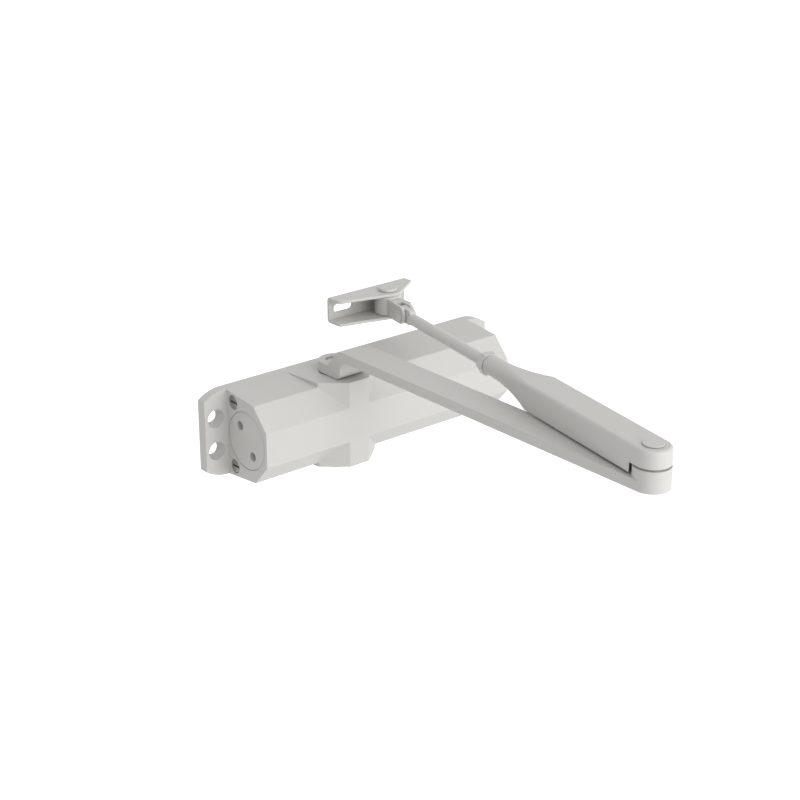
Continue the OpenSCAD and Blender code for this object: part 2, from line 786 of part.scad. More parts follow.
module elbow_washer() {
    color(steel) translate([elbow_x, elbow_y, knuckle_top]) difference() {
        cylinder(h = elbow_washer_t, r = elbow_washer_r);
        translate([0, 0, -EPS]) cylinder(h = elbow_washer_t + 2 * EPS, r = elbow_pin_r + run_c);
    }
}

corner_steps = 6;
flare_steps = 12;
flare_start = socket_end - socket_l - flare_l;
round_r = socket_r - 0.1;

// Half section of the forearm: X is the distance from its middle, Y is the height.
module forearm_half() {
    w = forearm_w / 2;
    polygon(concat(
        [[0, forearm_low]],
        arc([w - forearm_low_r, forearm_low + forearm_low_r], forearm_low_r, -90, 0, corner_steps),
        arc([w - forearm_top_r, forearm_top - forearm_top_r], forearm_top_r, 0, 90, corner_steps),
        [[0, forearm_top]]));
}

// Rounded section of half width w and half height h, with corner radii low and top.
function rounded_section(w, h, low, top) = concat(
    arc([w - low, low - h], low, -90, 0, corner_steps), arc([w - top, h - top], top, 0, 90, corner_steps),
    arc([top - w, h - top], top, 90, 180, corner_steps), arc([low - w, low - h], low, 180, 270, corner_steps));
// Share of the flare's way from the bar to the socket at distance s from the elbow.
function flare_share(s) = min(1, max(0, (s - flare_start) / flare_l));
function concave(from, to, t) = to + (from - to) * (1 - t) * (1 - t);
// Ring of points round the forearm at distance s from the elbow, drawn in by inset.
function forearm_ring(s, inset = 0) = let (t = flare_share(s),
    w = concave(forearm_w / 2, socket_r, t), h = concave(forearm_h / 2, socket_r, t),
    low = forearm_low_r + (round_r - forearm_low_r) * t, top = forearm_top_r + (round_r - forearm_top_r) * t)
    [for (p = rounded_section(w - inset, h - inset, low - inset, top - inset)) [s, p[0], link_z + p[1]]];

// Bar, flare and round socket in one skin, from the elbow axis to the open end.
module forearm_skin() {
    flare = [for (i = [0:flare_steps]) forearm_ring(flare_start + flare_l * i / flare_steps)];
    rings = concat([forearm_ring(0)], flare, [
        forearm_ring(socket_end - socket_chamfer), forearm_ring(socket_end, socket_chamfer)]);
    m = len(rings[0]);
    n = len(rings) - 1;
    polyhedron([for (ring = rings) each ring], concat([[for (k = [0:m - 1]) k]],
        [for (i = [0:n - 1], k = [0:m - 1]) let (a = i * m + k, b = i * m + (k + 1) % m) [a, a + m, b + m, b]],
        [[for (k = [m - 1:-1:0]) n * m + k]]));
}

module forearm() {
    relief_r = arm_w / 2 + knuckle_gap;
    relief_h = lap_z - forearm_low + EPS;
    color(paint) at_elbow() difference() {
        union() {
            forearm_skin();
            rotate_extrude() forearm_half();
        }
        translate([0, 0, forearm_low - EPS]) cylinder(h = relief_h, r = relief_r);
        translate([-forearm_w, -forearm_w, forearm_low - EPS]) cube([forearm_w, 2 * forearm_w, relief_h]);
        translate([0, 0, forearm_low]) cylinder(h = forearm_h + EPS, r = elbow_pin_r + run_c);
        rod_x(socket_end - rod_hole, rod_hole + EPS, rod_r + run_c, 0, link_z);
    }
}

// One end of the hexagonal nut with its corners turned off, from its face inwards.
module nut_half() {
    intersection() {
        rotate([0, 0, 30]) cylinder(h = nut_t / 2 + EPS, d = nut_w / cos(30), $fn = 6);
        cylinder(h = nut_t / 2 + EPS, r1 = nut_w / 2 + nut_corner, r2 = nut_w / 2 + nut_corner + nut_t / 2);
    }
}

module jam_nut() {
    color(plated) at_elbow() translate([socket_end + face_c, 0, link_z]) rotate([0, 90, 0]) difference() {
        translate([0, 0, nut_t / 2]) union() {
            translate([0, 0, -nut_t / 2]) nut_half();
            mirror([0, 0, 1]) translate([0, 0, -nut_t / 2]) nut_half();
        }
        translate([0, 0, -EPS]) cylinder(h = nut_t + 2 * EPS, r = rod_r + run_c);
    }
}

// Side outline of an eye about the origin: half height h, tip at x = tip with corners of radius r,
// other end at x = -back with corners of radius q.
module eye_outline(h, tip, r, back, q) {
    polygon(concat(
        arc([tip - r, -h + r], r, -90, 0, 5), arc([tip - r, h - r], r, 0, 90, 5),
        arc([-back + q, h - q], q, 90, 180, 5), arc([-back + q, -h + q], q, 180, 270, 5)));
}

module adjusting_rod() {
    shoulder = pin_s - tongue_back + 1;
    color(plated) at_elbow() translate([0, 0, link_z]) difference() {
        union() {
            rod_x(socket_end - rod_in, shoulder - socket_end + rod_in, rod_r);
            translate([pin_s, tongue_t / 2, fork_lift]) rotate([90, 0, 0]) linear_extrude(tongue_t)
                eye_outline(tongue_h, tongue_h, tongue_r, tongue_back, tongue_r);
        }
        translate([pin_s, tongue_t, 0]) rotate([90, 0, 0])
            cylinder(h = 2 * tongue_t, r = clevis_pin_r + run_c);
    }
}

module clevis_pin() {
    color(plated) at_elbow() translate([pin_s, 0, link_z]) rotate([90, 0, 0]) {
        translate([0, 0, -fork_half]) cylinder(h = 2 * fork_half, r = clevis_pin_r);
        for (s = [0, 1]) mirror([0, 0, s]) translate([0, 0, fork_half])
            cylinder(h = clevis_head_h, r = clevis_head_r);
    }
}

module swivel_fork() {
    color(plated) at_elbow() difference() {
        union() {
            translate([pivot_s, 0, barrel_low]) cylinder(h = barrel_top - barrel_low, r = barrel_r);
            translate([pin_s, fork_half, link_z + fork_lift]) rotate([90, 0, 0]) linear_extrude(2 * fork_half)
                mirror([1, 0]) eye_outline(fork_ear_h, fork_tip, fork_ear_r, fork_tail - 2, 1);
        }
        translate([pin_s - 2 * tongue_h, -fork_gap, link_z - 2 * fork_ear_h])
            cube([2 * tongue_h + fork_slot, 2 * fork_gap, 4 * fork_ear_h]);
        translate([pin_s, 2 * fork_half, link_z]) rotate([90, 0, 0])
            cylinder(h = 4 * fork_half, r = clevis_pin_r + fit_c);
        translate([pivot_s, 0, barrel_low - EPS])
            cylinder(h = barrel_top - barrel_low + 2 * EPS, r = rivet_r + run_c);
        for (z = [barrel_low - shoe_h, barrel_top]) translate([pivot_s - nose_r - 1, -shoe_h, z])
            cube([2 * shoe_h, 2 * shoe_h, shoe_h]);
    }
}

module shoe_rivet() {
    color(paint) translate([pivot_x, -pivot_y, 0]) {
        translate([0, 0, shoe_low - rivet_foot_h]) cylinder(h = rivet_foot_h, r = rivet_head_r - 0.8);
        translate([0, 0, shoe_low - EPS]) cylinder(h = shoe_h + 2 * EPS, r = rivet_r);
        translate([0, 0, shoe_top]) cylinder(h = rivet_head_h, r = rivet_head_r);
    }
}

module shoe_washers() {
    color(steel) translate([pivot_x, -pivot_y, 0])
        for (z = [inner_low, inner_top - shoe_washer_t]) translate([0, 0, z]) difference() {
            cylinder(h = shoe_washer_t, r = barrel_r);
            translate([0, 0, -EPS]) cylinder(h = shoe_washer_t + 2 * EPS, r = rivet_r + run_c);
        }
}

// Plan of the shoe's flanges: a round nose at the pivot, tapering to both ends.
module shoe_plan() {
    hull() {
        translate([0, -pivot_y]) circle(r = nose_r);
        translate([-shoe_left, -bend_r]) square([1, bend_r]);
        translate([-shoe_left + shoe_left_r, -shoe_left_d + shoe_left_r]) circle(r = shoe_left_r, $fn = 24);
        translate([shoe_right - 1, -bend_r]) square([1, bend_r]);
        translate([shoe_right - shoe_right_r, -shoe_right_d + shoe_right_r]) circle(r = shoe_right_r, $fn = 24);
    }
}

// Side view of the bent channel, open to the front, in Y and Z.
module shoe_channel() {
    deep = pivot_y + nose_r + 1;
    inner_bend = bend_r - shoe_t;
    difference() {
        polygon(concat(
            [[-deep, shoe_low]], arc([-bend_r, shoe_low + bend_r], bend_r, -90, 0, 6),
            arc([-bend_r, shoe_top - bend_r], bend_r, 0, 90, 6), [[-deep, shoe_top]]));
        polygon(concat(
            [[-deep - 1, inner_low]], arc([-bend_r, inner_low + inner_bend], inner_bend, -90, 0, 4),
            arc([-bend_r, inner_top - inner_bend], inner_bend, 0, 90, 4), [[-deep - 1, inner_top]]));
    }
}

module shoe_slot(x) {
    r = shoe_slot_w / 2;
    run = shoe_slot_l / 2 - r;
    translate([x, EPS, shoe_z]) rotate([90, 0, 0]) {
        for (s = [-1, 1]) translate([s * run, 0, 0]) cylinder(h = shoe_t + 2 * EPS, r = r);
        translate([-run, -r, 0]) cube([2 * run, 2 * r, shoe_t + 2 * EPS]);
    }
}

module arm_shoe() {
    color(paint) translate([pivot_x, 0, 0]) difference() {
        intersection() {
            along_x(-shoe_left, shoe_left + shoe_right) shoe_channel();
            translate([0, 0, shoe_low - 1]) linear_extrude(shoe_h + 2) shoe_plan();
        }
        shoe_slot(-shoe_left + shoe_slot_x);
        shoe_slot(shoe_right - shoe_slot_x2);
        translate([0, -pivot_y, shoe_low - EPS]) cylinder(h = shoe_h + 2 * EPS, r = rivet_r + fit_c);
    }
}

closer_body();
left_end_cap();
right_end_cap();
cap_seals();
sweep_valve();
latch_valve();
valve_seals();
piston();
check_ball();
check_retainer();
main_spring();
spring_seat();
spindle();
upper_bearing();
lower_bearing();
upper_seal();
lower_seal();
upper_gland();
lower_gland();
spindle_cover();
main_arm();
arm_screw();
elbow_pin();
elbow_washer();
forearm();
jam_nut();
adjusting_rod();
clevis_pin();
swivel_fork();
shoe_rivet();
shoe_washers();
arm_shoe();
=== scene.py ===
"""Looks of an overhead door closer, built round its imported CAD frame.

The frame's pieces keep their shapes. Each one gets a procedural finish, the painted pieces get
rounded edges, the adjusting rod gets its thread, and the closing spring is wound in full. Lengths
are in metres and angles in radians, unless a name's own words say otherwise.
"""
import json
import logging
import math
from dataclasses import dataclass, replace
from enum import Enum
from functools import cache

import bmesh
import bpy
from mathutils import Euler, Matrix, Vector


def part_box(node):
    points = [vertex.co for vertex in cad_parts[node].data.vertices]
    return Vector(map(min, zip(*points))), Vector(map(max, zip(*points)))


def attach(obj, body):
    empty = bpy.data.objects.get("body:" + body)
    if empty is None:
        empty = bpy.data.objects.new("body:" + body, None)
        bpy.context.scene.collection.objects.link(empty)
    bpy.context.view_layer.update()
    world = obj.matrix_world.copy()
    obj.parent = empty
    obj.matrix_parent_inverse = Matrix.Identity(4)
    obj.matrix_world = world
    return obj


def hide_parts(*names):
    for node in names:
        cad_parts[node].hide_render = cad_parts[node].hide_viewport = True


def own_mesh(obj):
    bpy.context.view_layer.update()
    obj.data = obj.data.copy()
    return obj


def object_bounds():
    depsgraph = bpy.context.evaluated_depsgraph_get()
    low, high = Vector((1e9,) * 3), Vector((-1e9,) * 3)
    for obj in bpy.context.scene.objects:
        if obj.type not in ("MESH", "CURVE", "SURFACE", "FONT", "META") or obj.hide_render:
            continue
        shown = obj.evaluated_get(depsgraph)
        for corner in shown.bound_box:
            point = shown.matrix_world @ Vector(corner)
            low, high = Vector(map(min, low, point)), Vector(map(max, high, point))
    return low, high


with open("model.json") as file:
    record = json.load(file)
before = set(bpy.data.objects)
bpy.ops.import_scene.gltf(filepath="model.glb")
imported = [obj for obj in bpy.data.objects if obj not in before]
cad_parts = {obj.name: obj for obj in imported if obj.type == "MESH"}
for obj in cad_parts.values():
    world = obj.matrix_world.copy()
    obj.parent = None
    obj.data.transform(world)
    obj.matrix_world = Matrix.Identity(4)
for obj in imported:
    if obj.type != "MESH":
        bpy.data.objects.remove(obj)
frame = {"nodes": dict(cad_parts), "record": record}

CAD_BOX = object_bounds()
MM = 0.001

# Points of a copied mesh that lie closer together than this become one.
WELD = 0.01 * MM
# Faces that turn by less than this angle where they meet are joined to one flat face.
FLAT = math.radians(0.4)
# An edge is rounded where its faces turn by more than this angle.
HARD_EDGE = math.radians(28)
# Two rounded edges that turn by more than this angle where they meet form a corner.
CORNER = math.radians(35)
# How much of the shortest edge that ends in a corner the rounding may take up.
ROOM_SHARE = 0.42
# An edge is shaded as sharp where its faces still turn by more than this angle after the rounding.
SHARP = math.radians(32)

Colour = tuple[float, float, float]
Triple = tuple[float, float, float]

UPRIGHT: Triple = (0.0, 0.0, 0.0)
ALONG_BODY: Triple = (0.0, math.pi / 2, 0.0)

log = logging.getLogger("door_closer")


class Grain(Enum):
    """How a bare metal surface was finished."""

    TURNED = "turned"
    DRAWN = "drawn"
    POLISHED = "polished"

    @property
    def depth(self) -> float:
        """Tells how deep the marks are."""
        return 0.004 * MM if self is Grain.POLISHED else 0.008 * MM


class Lamp(Enum):
    """The lamps of the studio."""

    KEY = "key"
    TOP = "top"


class NodeLayout:
    """A short way to place and join nodes.

    Attributes:
        tree: The tree that the nodes are placed in.
    """

    def __init__(self, tree: bpy.types.NodeTree) -> None:
        """Keeps the tree that the nodes are placed in."""
        self.tree = tree

    def plug(self, socket: bpy.types.NodeSocket, value: object) -> None:
        """Sets an input socket to a value, or links it to an output socket.

        Args:
            socket: The input socket.
            value: A number, a colour, a vector, a material or an output socket.
        """
        if isinstance(value, bpy.types.NodeSocket):
            self.tree.links.new(value, socket)
        else:
            socket.default_value = value

    def feed(self, node: bpy.types.Node, **inputs: object) -> None:
        """Fills a node's inputs.

        Args:
            node: The node that has the inputs.
            **inputs: A value or a socket for each input, with underscores for the spaces in its name.
        """
        for name, value in inputs.items():
            self.plug(node.inputs[name.replace("_", " ")], value)

    def place(self, kind: str, **inputs: object) -> bpy.types.Node:
        """Places a node and fills its inputs.

        Args:
            kind: The node's type, such as ShaderNodeTexNoise.
            **inputs: A value or a socket for each input, with underscores for the spaces in its name.

        Returns:
            The new node.
        """
        node = self.tree.nodes.new(kind)
        self.feed(node, **inputs)
        return node

    def use_group(self, group: bpy.types.NodeTree, **inputs: object) -> bpy.types.Node:
        """Places a shader node group and fills its inputs.

        Args:
            group: The group.
            **inputs: A value or a socket for each input, with underscores for the spaces in its name.

        Returns:
            The new group node.
        """
        node = self.tree.nodes.new("ShaderNodeGroup")
        node.node_tree = group
        self.feed(node, **inputs)
        return node

    def math(self, operation: str, *terms: object) -> bpy.types.NodeSocket:
        """Works out one sum.

        Args:
            operation: The Math node's operation, such as MULTIPLY.
            *terms: Numbers or sockets, in order.

        Returns:
            The result's socket.
        """
        node = self.tree.nodes.new("ShaderNodeMath")
        node.operation = operation
        for socket, term in zip(node.inputs, terms):
            self.plug(socket, term)
        return node.outputs[0]

    def vary(self, tone: bpy.types.NodeSocket, swing: float, middle: float) -> bpy.types.NodeSocket:
        """Lets a value vary with a tone.

        Args:
            tone: The tone, which is 0 in its middle.
            swing: How much the value grows as the tone grows by 1.
            middle: The value where the tone is 0.

        Returns:
            The value's socket.
        """
        return self.math("ADD", self.math("MULTIPLY", tone, swing), middle)

    def blend(self, share: object, first: object, second: object) -> bpy.types.NodeSocket:
        """Mixes two colours.

        Args:
            share: How much of the second colour, as a number or a socket.
            first: A colour or a socket.
            second: A colour or a socket.

        Returns:
            The mixed colour's socket.
        """
        node = self.tree.nodes.new("ShaderNodeMix")
        node.data_type = "RGBA"
        for socket, value in ((node.inputs[0], share), (node.inputs[6], first), (node.inputs[7], second)):
            self.plug(socket, value)
        return node.outputs[2]

    def centred(self, point: bpy.types.NodeSocket, at: Triple, turn: Triple) -> bpy.types.NodeSocket:
        """Moves a pattern's centre and turns its axis.

        Args:
            point: The object coordinates.
            at: Where the pattern's centre goes.
            turn: The turn that takes the Z axis to the pattern's axis.

        Returns:
            The pattern's own coordinates.
        """
        placed = self.place("ShaderNodeMapping", Vector=point, Location=at, Rotation=turn)
        placed.vector_type = "TEXTURE"
        return placed.outputs[0]


class Surface(NodeLayout):
    """A material in the making.

    Attributes:
        material: The material.
        shader: Its Principled BSDF.
    """

    def __init__(self, name: str) -> None:
        """Makes the material and finds its shader.

        Args:
            name: The material's name.
        """
        self.material = bpy.data.materials.new(name)
        self.material.use_nodes = True
        super().__init__(self.material.node_tree)
        self.shader = self.tree.nodes["Principled BSDF"]

    def point(self) -> bpy.types.NodeSocket:
        """Gives the socket of the object coordinates."""
        return self.place("ShaderNodeTexCoord").outputs["Object"]

    def coat(self, **inputs: object) -> None:
        """Fills the shader's inputs, each named with underscores for its spaces."""
        self.feed(self.shader, **inputs)


class SharedGroup(NodeLayout):
    """A shader node group in the making, with its named sockets.

    Attributes:
        given: What comes into the group, by name.
        sink: The node that takes what the group puts out.
    """

    def __init__(self, name: str, inputs: dict[str, float], outputs: tuple[str, ...]) -> None:
        """Makes the group with its sockets.

        Args:
            name: The group's name.
            inputs: The default of each input, by name, besides the point.
            outputs: The names of the outputs.
        """
        super().__init__(bpy.data.node_groups.new(name, "ShaderNodeTree"))
        sockets = self.tree.interface
        sockets.new_socket("Point", in_out="INPUT", socket_type="NodeSocketVector")
        for key, value in inputs.items():
            sockets.new_socket(key, in_out="INPUT", socket_type="NodeSocketFloat").default_value = value
        for key in outputs:
            sockets.new_socket(key, in_out="OUTPUT", socket_type="NodeSocketFloat")
        self.given = self.tree.nodes.new("NodeGroupInput").outputs
        self.sink = self.tree.nodes.new("NodeGroupOutput")


@cache
def paint_skin() -> bpy.types.NodeTree:
    """Makes the skin of sprayed paint: fine ripples, slow changes of tone and thin dust.

    Returns:
        A group that puts out Height, Tone and Dust.
    """
    skin = SharedGroup("paint_skin", {"Ripple Scale": 900.0, "Tone Scale": 14.0, "Dust": 0.3},
                       ("Height", "Tone", "Dust"))
    point = skin.given["Point"]
    ripple = skin.place("ShaderNodeTexNoise", Vector=point, Scale=skin.given["Ripple Scale"], Detail=3.0)
    tone = skin.place("ShaderNodeTexNoise", Vector=point, Scale=skin.given["Tone Scale"], Detail=4.0)
    specks = skin.place("ShaderNodeTexNoise", Vector=point, Scale=320.0, Detail=6.0, Roughness=0.7)
    normal = skin.place("ShaderNodeSeparateXYZ", Vector=skin.place("ShaderNodeNewGeometry").outputs["Normal"])
    upward = skin.math("MAXIMUM", normal.outputs["Z"], 0.0)
    settled = skin.math("MULTIPLY", upward, specks.outputs[0])
    skin.feed(skin.sink, Height=ripple.outputs[0], Tone=skin.math("SUBTRACT", tone.outputs[0], 0.5),
              Dust=skin.math("MULTIPLY", settled, skin.given["Dust"]))
    return skin.tree


@cache
def tool_marks() -> bpy.types.NodeTree:
    """Makes tool marks: rings round the Z axis of its point, or lines across it.

    Returns:
        A group that puts out Height and Tone.
    """
    marks = SharedGroup("machining", {"Pitch": 0.4 * MM, "Turned": 1.0, "Wobble": 0.2}, ("Height", "Tone"))
    split = marks.place("ShaderNodeSeparateXYZ", Vector=marks.given["Point"])
    across = marks.math("POWER", split.outputs["X"], 2.0)
    along = marks.math("POWER", split.outputs["Y"], 2.0)
    radius = marks.math("SQRT", marks.math("ADD", across, along))
    drawn = marks.math("SUBTRACT", 1.0, marks.given["Turned"])
    ring = marks.math("MULTIPLY", radius, marks.given["Turned"])
    line = marks.math("MULTIPLY", split.outputs["X"], drawn)
    noise = marks.place("ShaderNodeTexNoise", Vector=marks.given["Point"], Scale=60.0, Detail=3.0)
    shift = marks.math("MULTIPLY", noise.outputs[0], marks.given["Wobble"])
    turns = marks.math("DIVIDE", marks.math("ADD", ring, line), marks.given["Pitch"])
    wave = marks.math("SINE", marks.math("MULTIPLY", marks.math("ADD", turns, shift), math.tau))
    marks.feed(marks.sink, Height=wave, Tone=marks.math("SUBTRACT", noise.outputs[0], 0.5))
    return marks.tree


@cache
def screw_thread() -> bpy.types.NodeTree:
    """Makes a screw thread round the Z axis of its point, from below up to an end.

    Returns:
        A group that puts out Height.
    """
    thread = SharedGroup("screw_thread", {"Pitch": 1.0 * MM, "End": 0.0}, ("Height",))
    split = thread.place("ShaderNodeSeparateXYZ", Vector=thread.given["Point"])
    turn = thread.math("DIVIDE", thread.math("ARCTAN2", split.outputs["Y"], split.outputs["X"]), math.tau)
    rise = thread.math("DIVIDE", split.outputs["Z"], thread.given["Pitch"])
    wave = thread.math("SINE", thread.math("MULTIPLY", thread.math("SUBTRACT", rise, turn), math.tau))
    ridge = thread.math("MULTIPLY_ADD", wave, 0.5, 0.5)
    cut = thread.math("LESS_THAN", split.outputs["Z"], thread.given["End"])
    groove = thread.math("MULTIPLY", thread.math("SUBTRACT", 1.0, ridge), cut)
    thread.feed(thread.sink, Height=thread.math("SUBTRACT", 1.0, groove))
    return thread.tree


@dataclass(frozen=True)
class Thread:
    """A screw thread under the paint.

    Attributes:
        origin: A point on the thread's axis.
        turn: The turn that takes the Z axis to the thread's axis.
        end: How far along the axis from the origin the thread ends.
        pitch: The thread's pitch.
        depth: The thread's depth.
    """

    origin: Triple
    turn: Triple
    end: float
    pitch: float = 1.25 * MM
    depth: float = 0.3 * MM

    def cut(self, surface: Surface, point: bpy.types.NodeSocket,
            normal: bpy.types.NodeSocket) -> bpy.types.NodeSocket:
        """Bends a normal by the thread.

        Args:
            surface: The material in the making.
            point: The object coordinates.
            normal: The normal without the thread.

        Returns:
            The normal with the thread.
        """
        along = surface.centred(point, self.origin, self.turn)
        ridges = surface.use_group(screw_thread(), Point=along, Pitch=self.pitch, End=self.end)
        bump = surface.place("ShaderNodeBump", Height=ridges.outputs["Height"], Distance=self.depth,
                             Normal=normal)
        return bump.outputs[0]


@dataclass(frozen=True)
class PaintFinish:
    """Sprayed satin paint over metal.

    Attributes:
        name: The material's name.
        colour: The paint's colour.
        dark: The colour in its darker patches.
        dust_colour: The colour of the dust.
        dust: How much dust lies on upward faces.
        roughness: The roughness of the paint.
        gloss: The specular level of the paint.
        ripple_scale: Ripples per metre.
        ripple_depth: How deep the ripples are.
        thread: The screw thread under the paint, if there is one.
    """

    name: str
    colour: Colour = (0.525, 0.519, 0.5)
    dark: Colour = (0.508, 0.502, 0.484)
    dust_colour: Colour = (0.6, 0.59, 0.57)
    dust: float = 0.1
    roughness: float = 0.46
    gloss: float = 0.35
    ripple_scale: float = 900.0
    ripple_depth: float = 0.03 * MM
    thread: Thread | None = None

    def make(self) -> bpy.types.Material:
        """Builds the material.

        Returns:
            The material.
        """
        surface = Surface(self.name)
        point = surface.point()
        skin = surface.use_group(paint_skin(), Point=point, Ripple_Scale=self.ripple_scale, Dust=self.dust)
        patches = surface.vary(skin.outputs["Tone"], swing=1.6, middle=0.5)
        paint = surface.blend(patches, (*self.colour, 1), (*self.dark, 1))
        ripples = surface.place("ShaderNodeBump", Height=skin.outputs["Height"], Strength=0.5,
                                Distance=self.ripple_depth)
        normal = ripples.outputs[0]
        if self.thread:
            normal = self.thread.cut(surface, point, normal)
        surface.coat(Base_Color=surface.blend(skin.outputs["Dust"], paint, (*self.dust_colour, 1)),
                     Roughness=surface.vary(skin.outputs["Tone"], swing=0.12, middle=self.roughness),
                     Specular_IOR_Level=self.gloss, Normal=normal)
        return surface.material


@dataclass(frozen=True)
class MetalFinish:
    """Bare or plated metal with tool marks.

    Attributes:
        name: The material's name.
        colour: The metal's colour.
        grain: How the surface was finished.
        centre: A point on the axis that the marks run round.
        turn: The turn that takes the Z axis to the marks' axis.
        roughness: The roughness between the marks.
        pitch: The distance between marks.
        shade: How bright the darker patches are, as a share of the colour.
    """

    name: str
    colour: Colour
    grain: Grain
    centre: Triple = (0.0, 0.0, 0.0)
    turn: Triple = UPRIGHT
    roughness: float = 0.32
    pitch: float = 0.18 * MM
    shade: float = 0.78

    def make(self) -> bpy.types.Material:
        """Builds the material.

        Returns:
            The material.
        """
        surface = Surface(self.name)
        place = surface.centred(surface.point(), self.centre, self.turn)
        rings = 1.0 if self.grain is Grain.TURNED else 0.0
        marks = surface.use_group(tool_marks(), Point=place, Pitch=self.pitch, Turned=rings)
        darker = tuple(channel * self.shade for channel in self.colour)
        patches = surface.vary(marks.outputs["Tone"], swing=1.5, middle=0.5)
        bump = surface.place("ShaderNodeBump", Height=marks.outputs["Height"], Strength=0.4,
                             Distance=self.grain.depth)
        surface.coat(Base_Color=surface.blend(patches, (*self.colour, 1), (*darker, 1)), Metallic=1.0,
                     Roughness=surface.vary(marks.outputs["Tone"], swing=0.2, middle=self.roughness),
                     Normal=bump.outputs[0])
        return surface.material


@dataclass(frozen=True)
class RubberFinish:
    """Black rubber of the seals.

    Attributes:
        name: The material's name.
        colour: The rubber's colour.
        bloom: The paler colour that the rubber takes in patches.
        roughness: The rubber's roughness.
        grain_depth: How deep its grain is.
    """

    name: str
    colour: Colour = (0.03, 0.03, 0.032)
    bloom: Colour = (0.07, 0.07, 0.072)
    roughness: float = 0.62
    grain_depth: float = 0.05 * MM

    def make(self) -> bpy.types.Material:
        """Builds the material.

        Returns:
            The material.
        """
        surface = Surface(self.name)
        noise = surface.place("ShaderNodeTexNoise", Vector=surface.point(), Scale=260.0, Detail=5.0)
        patches = noise.outputs[0]
        tone = surface.math("SUBTRACT", patches, 0.5)
        bump = surface.place("ShaderNodeBump", Height=patches, Strength=0.3, Distance=self.grain_depth)
        surface.coat(Base_Color=surface.blend(patches, (*self.colour, 1), (*self.bloom, 1)),
                     Roughness=surface.vary(tone, swing=0.2, middle=self.roughness),
                     Normal=bump.outputs[0])
        return surface.material


Finish = PaintFinish | MetalFinish | RubberFinish

CAST_PAINT = PaintFinish("cast_paint")
SMOOTH_PAINT = PaintFinish("smooth_paint", roughness=0.42, ripple_scale=1400.0, ripple_depth=0.02 * MM)
SEAL_RUBBER = RubberFinish("seal_rubber")
STEEL: Colour = (0.5, 0.5, 0.51)
ZINC: Colour = (0.55, 0.55, 0.54)
# Painted shade: the valve screws' colour is darker than their metal's own, standing for the shade in their
# deep recesses.
VALVE_METAL_WITH_PAINTED_SHADE: Colour = (0.38, 0.38, 0.37)
SPRING_STEEL: Colour = (0.3, 0.3, 0.32)


@cache
def material_of(finish: Finish) -> bpy.types.Material:
    """Makes a finish's material, once for all the pieces that wear it."""
    return finish.make()


def centre_of(node: str) -> Vector:
    """Finds the middle of a CAD node's box at rest."""
    low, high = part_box(node)
    return (Vector(low) + Vector(high)) / 2


def body_of(node: str) -> str:
    """Finds the body that a CAD node belongs to."""
    bodies = frame["record"]["behaviour"]["bodies"]
    return next(name for name, nodes in bodies.items() if node in nodes)


def dress(node: str, finish: Finish) -> None:
    """Gives a CAD node its finish.

    Args:
        node: The node's name.
        finish: The finish of all of it.
    """
    slots = frame["nodes"][node].data.materials
    slots.clear()
    slots.append(material_of(finish))
    log.info("%s wears %s", node, finish.name)


def dress_turned(node: str, colour: Colour, axis: Triple = UPRIGHT, **looks: float) -> None:
    """Gives a CAD node of bare metal marks that run round its own axis.

    Args:
        node: The node's name.
        colour: The metal's colour.
        axis: The turn that takes the Z axis to the node's axis.
        **looks: What else its MetalFinish says.
    """
    dress(node, MetalFinish(f"{node}_metal", colour, Grain.TURNED, tuple(centre_of(node)), axis, **looks))


def new_object(name: str, data: bpy.types.ID) -> bpy.types.Object:
    """Makes an object and links it to the scene.

    Args:
        name: The object's name.
        data: Its mesh, its camera or its light.

    Returns:
        The object, at the origin.
    """
    made = bpy.data.objects.new(name, data)
    bpy.context.scene.collection.objects.link(made)
    return made


def stand_for(piece: bpy.types.Object, node: str, finish: Finish) -> None:
    """Puts a finished piece in a CAD node's place.

    Args:
        piece: The piece, at the origin with its place in its mesh.
        node: The node that it stands for.
        finish: The finish of all of it.
    """
    piece.data.materials.clear()
    piece.data.materials.append(material_of(finish))
    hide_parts(node)
    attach(piece, body_of(node))
    log.info("%s stands for %s in %s", piece.name, node, finish.name)


def bake_modifiers(piece: bpy.types.Object) -> None:
    """Turns a piece's modifiers into plain mesh.

    Args:
        piece: The piece, whose mesh is replaced.
    """
    evaluated = piece.evaluated_get(bpy.context.evaluated_depsgraph_get())
    solid = bpy.data.meshes.new_from_object(evaluated)
    piece.modifiers.clear()
    piece.data = solid


def welded_copy(node: str) -> bmesh.types.BMesh:
    """Copies a CAD node's mesh, welds it and takes out the edges inside its flat faces.

    Args:
        node: The node's name.

    Returns:
        The welded mesh, with its normals facing outwards.
    """
    mesh = bmesh.new()
    mesh.from_mesh(frame["nodes"][node].data)
    bmesh.ops.remove_doubles(mesh, verts=mesh.verts, dist=WELD)
    bmesh.ops.dissolve_limit(mesh, angle_limit=FLAT, verts=mesh.verts, edges=mesh.edges)
    bmesh.ops.recalc_face_normals(mesh, faces=mesh.faces)
    return mesh


def is_corner(vertex: bmesh.types.BMVert, hard: set[bmesh.types.BMEdge]) -> bool:
    """Tells whether hard edges form a corner at a point.

    Args:
        vertex: The point, at the end of a hard edge.
        hard: The hard edges of the mesh.

    Returns:
        False where just two of them meet and run on nearly straight, and True otherwise.
    """
    met = [edge for edge in vertex.link_edges if edge in hard]
    if len(met) != 2:
        return True
    first, second = (edge.other_vert(vertex).co - vertex.co for edge in met)
    return first.angle(-second) > CORNER


def connected_runs(hard: set[bmesh.types.BMEdge]) -> list[set[bmesh.types.BMEdge]]:
    """Sorts hard edges into runs, in which each edge touches another.

    Args:
        hard: The hard edges of the mesh.

    Returns:
        The runs.
    """
    runs, left = [], set(hard)
    while left:
        run, waiting = set(), [left.pop()]
        while waiting:
            edge = waiting.pop()
            run.add(edge)
            near = {other for vertex in edge.verts for other in vertex.link_edges} & left
            left -= near
            waiting.extend(near)
        runs.append(run)
    return runs


